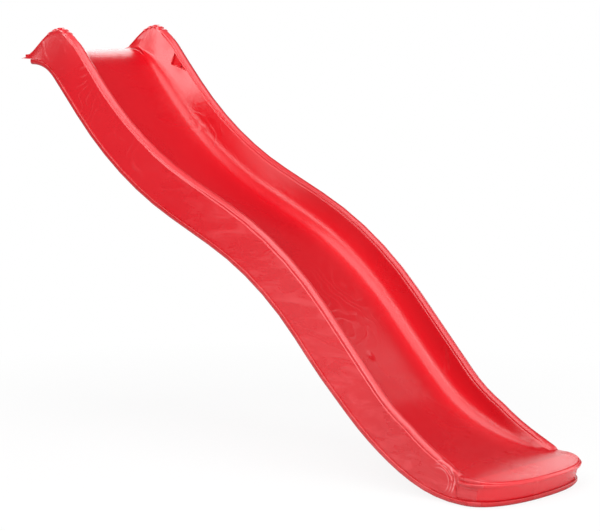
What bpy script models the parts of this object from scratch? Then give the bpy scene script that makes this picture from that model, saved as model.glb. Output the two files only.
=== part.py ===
"""Garden slide: a hollow moulded wave chute that hangs by its lip on a platform.

Frame: origin at the middle of the lip's flat underside, +X down the slide, +Z up, metres.
Both skins are modelled unrolled, as (s, y, h), and bent along the side profile: s runs along the
under edge from the platform's face, y across, h square to the under edge.
"""
import math

import bpy
import bmesh
from mathutils import Matrix, Vector

# Overall sizes
PLATFORM_HEIGHT = 1.200      # platform's top above the ground, where the lip rests
LIP_LENGTH = 0.048           # lip, from the platform's face back
LIP_THICKNESS = 0.0125
RUN_OUT = 0.142              # level stretch with the rounded nose, after the last curve
WALL = 0.0035                # moulded wall
FIT_GAP = 0.0003             # between pieces that touch

# Side profile of the under edge, top to bottom: slopes and radii
SLOPE_TOP = math.radians(46.4)
SLOPE_SHOULDER = math.radians(22.6)
SLOPE_LOWER = math.radians(46.0)
BROW_LENGTH = 0.011          # level stretch at the platform
BROW_RADIUS = 0.140
STEEP_LENGTH = 0.162
WAVE_DIP_RADIUS = 1.288
SHOULDER_LENGTH = 0.182
WAVE_CREST_RADIUS = 1.078
RUN_OUT_RADIUS = 0.605

# Heights above the under edge, and how they change along the slide
SIDE_HEIGHT = 0.1440         # top of the rail
FLOOR_HEIGHT = 0.040         # sliding floor
PLATE_HEIGHT = 0.0750        # run-out plate at its front
PLATE_LIFT = 0.0052          # more than that at the rails' ends
PLATE_LIFT_END = 0.045       # before the nose's tip
PLATE_LIFT_LENGTH = 0.085
BAND_HEIGHT = 0.018          # under shell's band, up to the parting line
FLOOR_CREST_AT = 0.020       # floor reaches its height here
FLOOR_RISE_LENGTH = 0.615    # floor climbs to the plate over this length
TUCK_DEPTH = 0.0168          # under edge drawn up above the run-out
TUCK_AT = 0.365              # before the level stretch
TUCK_HALF_LENGTH = 0.335

# Widths, half of the symmetric section
RAIL_HALF = 0.2283           # outer face of the rail
RAIL_WIDTH = 0.027
RAIL_ROUND_INNER = 0.0055
RAIL_ROUND_OUTER = 0.0075
RAIL_SPREAD = 0.0070         # more half width at the rails' ends
RAIL_SPREAD_LENGTH = 0.42
BEAD = 0.0042                # ledge below the rail, inside and outside
BEAD_DROP_INNER = 0.0090
BEAD_DROP_UPPER = 0.0100     # outer ledge, on the upper wave
BEAD_DROP_LOWER = 0.0118     # outer ledge, on the lower wave
BEAD_TURN_LENGTH = 0.080     # outer ledge turns down over this length, before the rail's end
BEAD_TURN_DROP = 0.046
BEAD_CHANGE_AT = 0.85
BEAD_CHANGE_LENGTH = 0.20
PANEL_LEAN = 0.0142          # side panel's foot at the parting line, out from the rail
BAND_STEP = 0.0055           # band below the parting line, out from the panel
CHANNEL_INSET = 0.0433       # where wall and floor would meet, in from the rail's outer face
FILLET = 0.046
CREST_FILLET = 0.012
FILLET_GROWS_FROM = 0.02
FILLET_GROWS_OVER = 0.20

# Ears at the platform, with their grip ridges
LIP_FLARE = 0.005            # lip is this much wider each side
EAR_START = -0.029           # from the platform's face
EAR_SLOPE = math.radians(38.4)   # rear edge, straight as seen from the side
EAR_BLEND_LENGTH = 0.068     # how softly the rear edge turns into the rail
EAR_SWELL = 0.0026           # rail is this much higher on the brow
EAR_SWELL_AT = 0.120
EAR_SWELL_HALF_LENGTH = 0.110
BEAD_STARTS_AT = 0.060
BEAD_FADE = 0.045
GRIP_COUNT = 5
GRIP_FIRST_AT = 0.0435
GRIP_PITCH = 0.0108
GRIP_HEIGHT = 0.0016
GRIP_WIDTH = 0.0020          # swell of a ridge past the rail's faces
GRIP_TOP_HALF = 0.0014
GRIP_FOOT_HALF = 0.0036

# Nose
NOSE_POWER = 2.35            # squareness of the rounded front
PLATE_OVERHANG = -0.0005     # plate's edge, out from the band
BEAD_TO_PLATE = 0.0075       # nose's bead, below the plate's front
FASCIA_STEP = 0.0055         # nose's face, set in from the side panels
CORNER_LENGTH = 0.005        # of that step, at the rail's end
FACE_LEAN = 0.026            # front face, drawn back at the parting line
BAND_SETBACK = 0.022         # band's front, behind the plate's edge
SHADOW_GROOVE = 0.0045       # depth of the groove between the plate's edge and the bead
SHADOW_GROOVE_START = 0.012
RAIL_END_SETBACK = 0.166     # rail's end, behind the nose's tip
RAIL_END_LENGTH = 0.275      # rail sinks to the plate over this length
RAIL_END_STEP = 0.0040       # what is left of it there
RAIL_END_BEND = 1.08
RAIL_END_POWER = 0.64
FLARE_LENGTH = 0.055         # rail's foot widens to the plate over this length
PLATE_ROWS = 3

# Underside
RECESS = 0.010               # middle of the under shell, above the under edge
RECESS_INSET = 0.048         # recess's side, in from the band
FOOT_INSET = 0.036
BAND_EDGE = 0.015            # thickness of the band's solid edge
FOOT_ROUND = 0.0075          # under edge's rounding
NOSE_FOOT_ROUND = 0.018      # the same at the nose
NOSE_FOOT_ROUND_LENGTH = 0.15
GROOVE_COUNT = 7             # cross grooves that reach up to the floor
GROOVE_FIRST_AT = 0.230
GROOVE_PITCH = 0.210
GROOVE_TOP_HALF = 0.010
GROOVE_FOOT_HALF = 0.030
GROOVE_INSET = 0.050         # groove's end, in from the recess's side
GROOVE_END = 0.028

# Lip's screw holes
SCREW_HOLE_RADIUS = 0.004
SCREW_HOLE_HALF_PITCH = 0.150

# Water inlet in the far wall
POCKET = ((0.024, 0.1325), (0.042, 0.095), (0.106, 0.1325))   # along the steep stretch, and height
POCKET_SETBACK = 0.0263      # pocket's flat floor, in from the rail's outer face
POCKET_WALL = 0.008
INLET_ALONG = 0.0765
INLET_HEIGHT = 0.1215
INLET_RADIUS = 0.0048
INLET_BORE = 0.0028
INLET_CLEARANCE = 0.0003
SOCKET_RADIUS = 0.0078
SOCKET_BORE = 0.0058
SOCKET_LENGTH = 0.0065
COLLAR_RADIUS = 0.0098
COLLAR_THICKNESS = 0.0025
SEAL_THICKNESS = 0.0015
SEAL_RADIUS = 0.0092
PAD_RADIUS = 0.0112
PAD_RISE = 0.0008            # outer pad's flat face, out from the panel round it
PAD_DEPTH = 0.0052

# Fineness
ARC_STEP = math.radians(4.7)
LONGEST_STEP = 0.10
CLOSEST_STEP = 0.0009
TOP_ROWS = 15                # rows of the upper section, middle to the rail's outer top edge
NOSE_STEPS_OUTER = 2 * TOP_ROWS
NOSE_STEPS_INNER = TOP_ROWS

# Half widths that follow from these
PANEL_FOOT_HALF = RAIL_HALF + PANEL_LEAN
BAND_HALF = PANEL_FOOT_HALF + BAND_STEP
CHANNEL_HALF = RAIL_HALF - CHANNEL_INSET
PLATE_HALF = BAND_HALF + PLATE_OVERHANG
RECESS_HALF = BAND_HALF - RECESS_INSET
FOOT_HALF = BAND_HALF - FOOT_INSET
GROOVE_HALF_WIDTH = RECESS_HALF - GROOVE_INSET
POCKET_FLOOR = RAIL_HALF - POCKET_SETBACK

RED = (0.78, 0.02, 0.03, 1.0)
DARK_RED = (0.62, 0.015, 0.025, 1.0)
BLACK = (0.02, 0.02, 0.02, 1.0)


def smooth(u):
    u = min(1.0, max(0.0, u))
    return u * u * (3 - 2 * u)


def mix(a, b, t):
    return a + (b - a) * t


# Side profile
def profile_stretches():
    """(length, slope at its start, slope at its end), from the platform's face to the nose."""
    arcs = (
        (BROW_RADIUS, 0.0, SLOPE_TOP),
        (WAVE_DIP_RADIUS, SLOPE_TOP, SLOPE_SHOULDER),
        (WAVE_CREST_RADIUS, SLOPE_SHOULDER, SLOPE_LOWER),
        (RUN_OUT_RADIUS, SLOPE_LOWER, 0.0),
    )
    drop = PLATFORM_HEIGHT - BAND_HEIGHT
    for radius, a, b in arcs:
        drop -= abs(radius * (math.cos(b) - math.cos(a)))
    drop -= STEEP_LENGTH * math.sin(SLOPE_TOP) + SHOULDER_LENGTH * math.sin(SLOPE_SHOULDER)
    last_steep = drop / math.sin(SLOPE_LOWER)      # takes up what is left of the height
    curved = [(radius * abs(b - a), a, b) for radius, a, b in arcs]
    return (
        (BROW_LENGTH, 0.0, 0.0),
        curved[0],
        (STEEP_LENGTH, SLOPE_TOP, SLOPE_TOP),
        curved[1],
        (SHOULDER_LENGTH, SLOPE_SHOULDER, SLOPE_SHOULDER),
        curved[2],
        (last_steep, SLOPE_LOWER, SLOPE_LOWER),
        curved[3],
        (RUN_OUT, 0.0, 0.0),
    )


STRETCHES = profile_stretches()
TOTAL = sum(length for length, _, _ in STRETCHES)


def profile_marks():
    """Places along the slide where both skins have a section, so that their facets lie together."""
    marks, s = [-LIP_LENGTH], 0.0
    for length, a, b in STRETCHES:
        parts = max(1, math.ceil(abs(b - a) / ARC_STEP), math.ceil(length / LONGEST_STEP))
        marks += [s + length * k / parts for k in range(parts)]
        s += length
    return marks + [TOTAL]


MARKS = profile_marks()
LEVEL_AT = TOTAL - RUN_OUT
STEEP_AT = STRETCHES[0][0] + STRETCHES[1][0]
RAIL_END_AT = TOTAL - RAIL_END_SETBACK
LIP_TOP = BAND_HEIGHT + LIP_THICKNESS
NOSE_HALF_AT_RAIL = RAIL_HALF + RAIL_SPREAD + BEAD


def between_marks(value, s):
    """The value at s, read straight between its values at the marks on either side."""
    after = next((k for k in range(1, len(MARKS) - 1) if MARKS[k] >= s), len(MARKS) - 1)
    low, high = MARKS[after - 1], MARKS[after]
    share = (s - low) / (high - low)
    return value(low) * (1 - share) + value(high) * share


def bend(s, y, h):
    """World point of the unrolled point (s, y, h), on the facets between the marks."""
    return between_marks(lambda mark: bend_at(mark, y, h), s)


def bend_at(s, y, h):
    """World point of the unrolled point (s, y, h), on the true curve."""
    x, z, slope = LIP_LENGTH / 2, -BAND_HEIGHT, 0.0
    if s < 0:
        x += s
        s = 0.0
    for index, (length, a, b) in enumerate(STRETCHES):
        part = s if index == len(STRETCHES) - 1 else min(s, length)
        slope = mix(a, b, part / length)
        if a == b:
            x += part * math.cos(a)
            z -= part * math.sin(a)
        else:
            radius = length / (b - a)
            x += radius * (math.sin(slope) - math.sin(a))
            z += radius * (math.cos(slope) - math.cos(a))
        s -= part
        if s <= 0:
            break
    return Vector((x + h * math.sin(slope), y, z + h * math.cos(slope)))


# Heights along the slide
def floor_height(s):
    crest = mix(LIP_TOP, FLOOR_HEIGHT, smooth((s + LIP_LENGTH) / (FLOOR_CREST_AT + LIP_LENGTH)))
    rise = smooth((s - RAIL_END_AT + FLOOR_RISE_LENGTH) / FLOOR_RISE_LENGTH)
    return crest + (PLATE_HEIGHT + plate_lift(s) - FLOOR_HEIGHT) * rise


def plate_lift(s):
    return PLATE_LIFT * smooth((TOTAL - PLATE_LIFT_END - s) / PLATE_LIFT_LENGTH)


def ear_height(s):
    """Height of the ear's straight rear edge above the under edge, at s."""
    foot, low = bend_at(EAR_START, 0, floor_height(EAR_START)), bend_at(s, 0, 0)
    slope = 0.0 if s < BROW_LENGTH else min(SLOPE_TOP, (s - BROW_LENGTH) / BROW_RADIUS)
    ahead, below = low.x - foot.x, low.z - foot.z
    return (ahead * math.sin(EAR_SLOPE) - below * math.cos(EAR_SLOPE)) / math.cos(slope + EAR_SLOPE)


def grip(s):
    """1 on top of a grip ridge, 0 between two."""
    for number in range(GRIP_COUNT):
        away = abs(s - GRIP_FIRST_AT - number * GRIP_PITCH)
        if away < GRIP_FOOT_HALF:
            return min(1.0, (GRIP_FOOT_HALF - away) / (GRIP_FOOT_HALF - GRIP_TOP_HALF))
    return 0.0


def rail_height(s):
    height = SIDE_HEIGHT
    away = abs(s - EAR_SWELL_AT) / EAR_SWELL_HALF_LENGTH
    if away < 1:
        height += EAR_SWELL * math.cos(math.pi / 2 * away) ** 2
    if s < EAR_SWELL_AT:
        edge = max(floor_height(s), ear_height(s))
        near = max(EAR_BLEND_LENGTH - abs(edge - height), 0.0)
        height = min(edge, height) - near * near / (4 * EAR_BLEND_LENGTH)
    u = min(1.0, max(0.0, (s - RAIL_END_AT + RAIL_END_LENGTH) / RAIL_END_LENGTH))
    left = (1 - u ** RAIL_END_BEND) ** RAIL_END_POWER
    plate = max(floor_height(s), PLATE_HEIGHT + plate_lift(s)) if s > TOTAL / 2 else 0.0
    plate += RAIL_END_STEP * smooth((RAIL_END_AT + CORNER_LENGTH - s) / CORNER_LENGTH)
    return mix(plate, height, left) + GRIP_HEIGHT * grip(s)


def tuck(s):
    """How far the under edge is drawn up: 0 but above the run-out."""
    u = (s - LEVEL_AT + TUCK_AT) / TUCK_HALF_LENGTH
    return TUCK_DEPTH * math.cos(math.pi / 2 * u) ** 2 if abs(u) < 1 else 0.0


def under_edge(s):
    return between_marks(tuck, s)


# Sections of the upper shell, half of each, from the middle out and down to the parting line
FILLET_POINTS = 5


def wall_fillet(s, wall, floor, top):
    """Points of the floor's fillet and the wall above it, for a wall of this height."""
    grown = smooth((s - FILLET_GROWS_FROM) / FILLET_GROWS_OVER)
    radius = min(mix(CREST_FILLET, FILLET, grown), 0.6 * wall)
    lean = math.atan2(top[1] - floor, top[0] - CHANNEL_HALF)
    reach = radius * math.tan(lean / 2)
    centre = (CHANNEL_HALF - reach, floor + radius)
    points = []
    for number in range(FILLET_POINTS):
        angle = -math.pi / 2 + lean * number / (FILLET_POINTS - 1)
        points.append((centre[0] + radius * math.cos(angle), centre[1] + radius * math.sin(angle)))
    foot = points[-1]
    points.append(((foot[0] + top[0]) / 2, (foot[1] + top[1]) / 2))
    return points


def spread(s):
    """How much wider the rails stand than at the platform."""
    return RAIL_SPREAD * smooth((s - RAIL_END_AT + RAIL_SPREAD_LENGTH) / RAIL_SPREAD_LENGTH)


def bead_turn(s):
    """How far the outer ledge has turned down to the parting line, near the rail's end."""
    u = min(1.0, max(0.0, (s - RAIL_END_AT + BEAD_TURN_LENGTH) / BEAD_TURN_LENGTH))
    return BEAD_TURN_DROP * (1 - math.sqrt(1 - u * u))


def cavity_setback(s):
    """How much further in the cavity's side lies, behind the turned ledge and the nose's groove."""
    return SHADOW_GROOVE * smooth((s - RAIL_END_AT + BEAD_TURN_LENGTH) / (BEAD_TURN_LENGTH / 2))


def fullness(s, wall):
    """0 where the wall starts, 1 where its section is whole: sooner at the ear's foot."""
    return smooth(wall / (0.012 if s < EAR_SWELL_AT else 0.030))


def plain_outer(s):
    floor, rail = floor_height(s), rail_height(s)
    wall = rail - floor
    full = fullness(s, wall)
    shown = smooth((s - BEAD_STARTS_AT) / BEAD_FADE)
    swell = GRIP_WIDTH * grip(s)
    half = RAIL_HALF + spread(s)
    outer = half + swell
    inner = half - RAIL_WIDTH - swell
    ledge_in = half - RAIL_WIDTH - BEAD * shown
    edge_in = RAIL_ROUND_INNER * min(1.0, full + 0.2)
    edge = RAIL_ROUND_OUTER * min(1.0, full + 0.2)
    drop_in = BEAD_DROP_INNER
    drop_out = mix(BEAD_DROP_UPPER, BEAD_DROP_LOWER,
                   smooth((s - BEAD_CHANGE_AT) / BEAD_CHANGE_LENGTH))
    drop_out = min(drop_out, 0.5 * (rail - BAND_HEIGHT)) + bead_turn(s)
    wall_top = (ledge_in, rail - drop_in - 0.0025)
    rows = [(0.0, floor), (CHANNEL_HALF * 0.40, floor)]
    curved = wall_fillet(s, max(wall, 0.012), floor, (wall_top[0], max(wall_top[1], floor + 0.012)))
    start, end = 0.675 * CHANNEL_HALF, wall_top[0] - 0.006
    level = [mix(start, end, k / FILLET_POINTS) for k in range(FILLET_POINTS + 1)]
    for (y, h), flat in zip(curved, level):
        rows.append((mix(flat, y, full), mix(floor, h, full)))
    inside = [
        (wall_top[0], wall_top[1]),
        (ledge_in + 0.0008, rail - drop_in),
        (inner - 0.0004, rail - drop_in + 0.0008),
        (inner, rail - edge_in),
        (inner + 0.3 * edge_in, rail - 0.3 * edge_in),
        (inner + edge_in, rail),
    ]
    for number, (y, h) in enumerate(inside):
        flat = mix(wall_top[0] - 0.003, inner + edge_in, number / (len(inside) - 1))
        rows.append((mix(flat, y, full), mix(floor, max(h, floor), full)))
    rows.append(((inner + edge_in + outer - edge) / 2, rail))
    rows.append((outer - edge, rail))
    out = half + BEAD * shown
    rows += [
        (outer - 0.3 * edge, rail - 0.3 * edge),
        (outer, rail - edge),
        (mix(outer, half, shown) + 0.0004, rail - drop_out + 0.0008),
        (out - 0.0008, rail - drop_out),
        (out, rail - drop_out - 0.0020),
    ]
    foot = under_edge(s) + BAND_HEIGHT
    head = rail - drop_out - 0.0020
    foot_half = PANEL_FOOT_HALF + LIP_FLARE * smooth(-s / 0.012)
    for part in (0.45, 0.92, 1.0):
        rows.append((mix(out, foot_half, part), mix(head, foot, part)))
    return rows


def plate_edge():
    """Rows of the nose's face from the plate down: (inset at the rail's end, inset on the nose,
    setback of the front, height, share of the plate's lift). Insets are from the nose's outline."""
    top, foot = PLATE_HEIGHT, BAND_HEIGHT
    foot_half = PANEL_FOOT_HALF - FASCIA_STEP
    bead = top - BEAD_TO_PLATE
    return [
        (0.0050, 0.0095, 0.0050, top, 1.0),
        (0.0045, 0.0075, 0.0036, top - 0.0012, 1.0),
        (0.0042, 0.0068, 0.0030, top - 0.0036, 0.9),
        (0.0038, 0.0058, 0.0028, bead + 0.0024, 0.0),
        (0.0008, 0.0016, 0.0010, bead + 0.0012, 0.0),
        (0.0, 0.0, 0.0, bead - 0.0012, 0.0),
        (0.0010, 0.0012, 0.0025, bead - 0.0070, 0.0),
        (0.0035, 0.0095, 0.0090, bead - 0.0105, 0.0),
        (NOSE_HALF_AT_RAIL - foot_half, PLATE_HALF - foot_half, FACE_LEAN, foot, 0.0),
    ]


def groove_depth(s):
    return SHADOW_GROOVE * smooth((s - RAIL_END_AT - CORNER_LENGTH) / SHADOW_GROOVE_START)


def plate_row(number, s):
    """(half width, height) at s of a row of the nose's face, past the rail's end."""
    inset_before, inset, _, h, lifted = plate_edge()[number]
    share = smooth((s - RAIL_END_AT) / FLARE_LENGTH)
    half = mix(NOSE_HALF_AT_RAIL, PLATE_HALF, share) - mix(inset_before, inset, share)
    if number == 3:
        half -= groove_depth(s) * (1 - 0.7 * share)
    corner = smooth((s - RAIL_END_AT) / CORNER_LENGTH)
    y_before, h_before = plain_outer(RAIL_END_AT)[TOP_ROWS + number]
    return mix(y_before, half, corner), mix(h_before, h + lifted * plate_lift(s), corner)


def upper_outer(s):
    """Rows of the upper shell's outer face, with the plate's edge past the rail's end."""
    rows = plain_outer(s)
    if s <= RAIL_END_AT:
        return rows
    edge = [plate_row(number, s) for number in range(len(plate_edge()))]
    widened = [(y * edge[0][0] / rows[TOP_ROWS][0], h) for y, h in rows[:TOP_ROWS]]
    return widened + edge


def upper_inner(s):
    """Cavity under the upper shell: its rows, plain, one wall inside the outer ones."""
    outer = upper_outer(s)
    floor, rail = floor_height(s) - WALL, rail_height(s) - WALL - GRIP_HEIGHT * grip(s)
    full = fullness(s, rail - floor)
    swell = GRIP_WIDTH * grip(s)
    rows = [(0.27 * CHANNEL_HALF, floor), (0.595 * CHANNEL_HALF, floor)]
    for number in (2, 4, 6):
        y, h = outer[number]
        turn = (number - 2) / 4 * math.pi / 2
        rows.append((y + WALL * math.sin(turn) * full, h - WALL * mix(1.0, math.cos(turn), full)))
    y, h = outer[8]
    rows.append((y + WALL * full, mix(floor, h - WALL, full)))
    rows.append((outer[13][0] + (WALL * 0.6 + swell) * full, mix(floor, rail - 0.002, full)))
    rows.append((outer[14][0], rail))
    rows.append((outer[TOP_ROWS][0] - WALL * 0.3 - swell * full - cavity_setback(s), rail))
    y, h = outer[TOP_ROWS + 5]
    if s > RAIL_END_AT:
        y = min(y, plate_row(7, s)[0])
    rows.append((y - WALL - cavity_setback(s), min(h, rail - 0.004)))
    y, h = outer[-1]
    rows.append((y - WALL, h))
    return rows


def upper_nose():
    """Rows round the nose, outer face: (profile along s, setback of the front)."""
    return [(lambda s, k=number: plate_row(k, s), row[2]) for number, row in enumerate(plate_edge())]


def upper_inner_nose():
    rows = []
    for number, drop in ((0, WALL), (7, 0.0), (8, 0.0)):
        def profile(s, k=number, drop=drop):
            half, h = plate_row(k, s)
            return half - WALL - (cavity_setback(s) if k < 8 else 0.0), h - drop
        rows.append((profile, plate_edge()[number][2] + WALL))
    return rows


# Sections of the under shell, half of each, from the middle out and up to the parting line
UNDER_TOP = 5


def groove(s):
    """1 on the flat of a cross groove, 0 between two."""
    for number in range(GROOVE_COUNT):
        away = abs(s - GROOVE_FIRST_AT - number * GROOVE_PITCH)
        if away < GROOVE_FOOT_HALF:
            return min(1.0, (GROOVE_FOOT_HALF - away) / (GROOVE_FOOT_HALF - GROOVE_TOP_HALF))
    return 0.0


def under_floor(s):
    """Height of the recess and of a cross groove, outer face."""
    edge = under_edge(s)
    recess = edge + RECESS * (1 - smooth((s - LEVEL_AT + 0.20) / 0.12)) * smooth(s / 0.03)
    touch = between_marks(floor_height, s) - 2 * WALL - FIT_GAP
    return recess, mix(recess, touch, groove(s))


def foot_round(s):
    return mix(FOOT_ROUND, NOSE_FOOT_ROUND, smooth((s - LEVEL_AT) / NOSE_FOOT_ROUND_LENGTH + 1))


def under_outer(s):
    edge, rounding = under_edge(s), foot_round(s)
    recess, raised = under_floor(s)
    top = edge + BAND_HEIGHT - FIT_GAP
    return [
        (0.0, raised),
        (GROOVE_HALF_WIDTH, raised),
        (GROOVE_HALF_WIDTH + GROOVE_END, recess),
        (RECESS_HALF, recess),
        (FOOT_HALF, edge),
        (BAND_HALF - rounding, edge),
        (BAND_HALF - 0.3 * rounding, edge + 0.0030),
        (BAND_HALF - 0.02 * rounding, edge + 0.0090),
        (BAND_HALF, top - 0.0020),
        (BAND_HALF - 0.0017, top),
    ]


def under_inner(s):
    edge = under_edge(s)
    recess, raised = under_floor(s)
    half = BAND_HALF - BAND_EDGE
    return [
        (0.4 * GROOVE_HALF_WIDTH, raised + WALL),
        (GROOVE_HALF_WIDTH, raised + WALL),
        (GROOVE_HALF_WIDTH + GROOVE_END, recess + WALL),
        (RECESS_HALF + 0.001, recess + WALL),
        (FOOT_HALF + 0.002, edge + WALL),
        (half - 0.005, edge + WALL),
        (half, edge + 0.0090),
        (half, edge + BAND_HEIGHT - FIT_GAP),
    ]


def under_nose(section):
    """Rows round the nose of the under shell: each keeps its width and height."""
    return [(lambda s, y=y, h=h: (y, h), BAND_SETBACK + BAND_HALF - y) for y, h in section]


# Skins
def around_nose(profile, front, steps):
    """Points of one row round the nose, without its two ends."""
    points = []
    for number in range(1, steps):
        angle = math.pi * number / steps
        across = -math.copysign(abs(math.cos(angle)) ** (2 / NOSE_POWER), math.cos(angle))
        along = math.sin(angle) ** (2 / NOSE_POWER)
        s = mix(LEVEL_AT, front, along)
        half, h = profile(s)
        points.append(bend(s, half * across, h))
    return points


class Skin:
    """One face of a shell: a grid of points along the slide, closed round the nose."""

    def __init__(self, mesh, section, stations, top_rows, nose, steps):
        self.mesh = mesh
        self.count = len(section(stations[0])) - 1
        self.top = top_rows
        self.centred = section(stations[0])[0][0] == 0.0
        self.grid = [self.line(section(s), s) for s in stations]
        self.rings = [self.ring(number, row, steps) for number, row in enumerate(nose)]

    def line(self, section, s):
        """Points across, by signed row: -rows on the near side, rows on the far side."""
        points = {}
        for row, (y, h) in enumerate(section):
            points[row + 1] = self.mesh.verts.new(bend(s, y, h))
            points[-row - 1] = points[row + 1] if y == 0.0 else self.mesh.verts.new(bend(s, -y, h))
        return points

    def ring(self, number, row, steps):
        profile, setback = row
        ends = self.top + number + 1
        inner = [self.mesh.verts.new(p) for p in around_nose(profile, TOTAL - setback, steps)]
        return [self.grid[-1][-ends]] + inner + [self.grid[-1][ends]]

    def across(self, points, rows=None):
        """The points of one station in order, from the near side to the far side."""
        rows = self.count + 1 if rows is None else rows
        start = 2 if self.centred else 1
        order = [points[-k] for k in range(rows, start - 1, -1)]
        if self.centred:
            order.append(points[1])
        return order + [points[k] for k in range(start, rows + 1)]

    def cover(self, plate_rows):
        """Faces of the grid, the rows round the nose and the plate inside them."""
        for line, after in zip(self.grid, self.grid[1:]):
            self.strip(self.across(line), self.across(after))
        for ring, below in zip(self.rings, self.rings[1:]):
            self.strip(ring, below)
        edge = self.across(self.grid[-1], self.top + 1)
        if plate_rows == 0:
            self.mesh.faces.new(edge + self.rings[0][-2:0:-1])
            return
        last = edge
        for number in range(1, plate_rows + 1):
            share = number / (plate_rows + 1)
            inner = [self.mesh.verts.new(a.co.lerp(b.co, share))
                     for a, b in zip(edge[1:-1], self.rings[0][1:-1])]
            row = [edge[0]] + inner + [edge[-1]]
            self.strip(last, row)
            last = row
        self.strip(last, self.rings[0])

    def strip(self, first, second):
        for a, b, c, d in zip(first, first[1:], second[1:], second):
            corners = [a, b, c, d]
            distinct = [v for k, v in enumerate(corners) if v is not corners[k - 1]]
            if len(distinct) > 2:
                self.mesh.faces.new(distinct)


def shell(name, outer, inner, stations, inner_from, noses, tops, plate_rows):
    """A tub with a closed outer face, a cavity and a rim that joins the two."""
    mesh = bmesh.new()
    first = next(k for k, s in enumerate(stations) if s >= inner_from - 1e-9)
    skin = Skin(mesh, outer, stations, tops[0], noses[0], NOSE_STEPS_OUTER)
    cavity = Skin(mesh, inner, stations[first:], tops[1], noses[1], NOSE_STEPS_INNER)
    skin.cover(plate_rows)
    cavity.cover(0)
    mesh.faces.new(skin.across(skin.grid[0]))
    mesh.faces.new(cavity.across(cavity.grid[0]))
    last, low = skin.count + 1, cavity.count + 1
    for side in (-1, 1):
        for k in range(len(cavity.grid) - 1):
            near, far = skin.grid[first + k], skin.grid[first + k + 1]
            mesh.faces.new((near[side * last], far[side * last],
                            cavity.grid[k + 1][side * low], cavity.grid[k][side * low]))
    ratio = NOSE_STEPS_OUTER // NOSE_STEPS_INNER
    rim, hole = skin.rings[-1], cavity.rings[-1]
    for k in range(NOSE_STEPS_INNER):
        mesh.faces.new(rim[k * ratio:(k + 1) * ratio + 1] + [hole[k + 1], hole[k]])
    near = [skin.grid[k][-last] for k in range(first + 1)]
    far = [skin.grid[k][last] for k in range(first, -1, -1)]
    mesh.faces.new(near + [cavity.grid[0][-low], cavity.grid[0][low]] + far)
    bmesh.ops.recalc_face_normals(mesh, faces=mesh.faces)
    data = bpy.data.meshes.new(name)
    mesh.to_mesh(data)
    mesh.free()
    return bpy.data.objects.new(name, data)


def along_slide(extra, start):
    """Stations from start to the nose: the marks, with the extra ones between."""
    wanted = sorted({m for m in MARKS if start <= m < LEVEL_AT} | set(extra))
    kept = wanted[:1]
    for s in wanted[1:]:
        if s - kept[-1] > CLOSEST_STEP or s in MARKS:
            if s - kept[-1] <= CLOSEST_STEP:
                kept.pop()
            kept.append(s)
    return kept


def rail_end_stations():
    fine = [RAIL_END_AT - RAIL_END_LENGTH * (1 - u) for u in (0.70, 0.80, 0.88, 0.94, 0.975, 0.99)]
    corner = [RAIL_END_AT + CORNER_LENGTH * part for part in (0.0, 0.5, 1.0)]
    return fine + corner + [LEVEL_AT]


def upper_stations():
    marks = [-LIP_LENGTH, 0.0, 0.006, 0.016, 0.026, 0.036]
    marks += [EAR_START + part for part in (0.0, 0.0045, 0.0095, 0.018)]
    for number in range(GRIP_COUNT):
        middle = GRIP_FIRST_AT + number * GRIP_PITCH
        marks += [middle - GRIP_FOOT_HALF, middle - GRIP_TOP_HALF,
                  middle + GRIP_TOP_HALF, middle + GRIP_FOOT_HALF]
    return along_slide(marks + rail_end_stations(), -LIP_LENGTH)


def under_stations():
    marks = [0.0, 0.006, 0.030]
    for number in range(GROOVE_COUNT):
        middle = GROOVE_FIRST_AT + number * GROOVE_PITCH
        marks += [middle - GROOVE_FOOT_HALF, middle - GROOVE_TOP_HALF,
                  middle + GROOVE_TOP_HALF, middle + GROOVE_FOOT_HALF]
    return along_slide(marks + [LEVEL_AT - 0.20, LEVEL_AT - 0.14, LEVEL_AT - 0.08, LEVEL_AT], 0.0)


# Solids for cuts and joins
def wall_across(h):
    """How far across the inner wall's face is on the steep stretch."""
    top = SIDE_HEIGHT - BEAD_DROP_INNER - 0.0025
    return mix(CHANNEL_HALF, RAIL_HALF - RAIL_WIDTH - BEAD, (h - FLOOR_HEIGHT) / (top - FLOOR_HEIGHT))


def panel_across(h):
    """How far across the outer panel's face is on the steep stretch."""
    top = SIDE_HEIGHT - BEAD_DROP_UPPER - 0.0020
    return mix(PANEL_FOOT_HALF, RAIL_HALF + BEAD, (h - BAND_HEIGHT) / (top - BAND_HEIGHT))


def pad_face():
    """How far across the outer pad's flat face is: clear of the leaning panel round it."""
    return PAD_RISE + max(panel_across(INLET_HEIGHT + side * PAD_RADIUS) for side in (-1, 1))


def prism(name, corners, low, high, collection):
    """A block on the steep stretch: corners (along, height), across from low(h) to high(h)."""
    mesh = bmesh.new()
    loops = [[mesh.verts.new(bend(STEEP_AT + s, side(h), h)) for s, h in corners]
             for side in (low, high)]
    mesh.faces.new(loops[0])
    mesh.faces.new(loops[1])
    for k in range(len(corners)):
        after = (k + 1) % len(corners)
        mesh.faces.new((loops[0][k], loops[0][after], loops[1][after], loops[1][k]))
    bmesh.ops.recalc_face_normals(mesh, faces=mesh.faces)
    data = bpy.data.meshes.new(name)
    mesh.to_mesh(data)
    mesh.free()
    return link(bpy.data.objects.new(name, data), collection)


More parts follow.
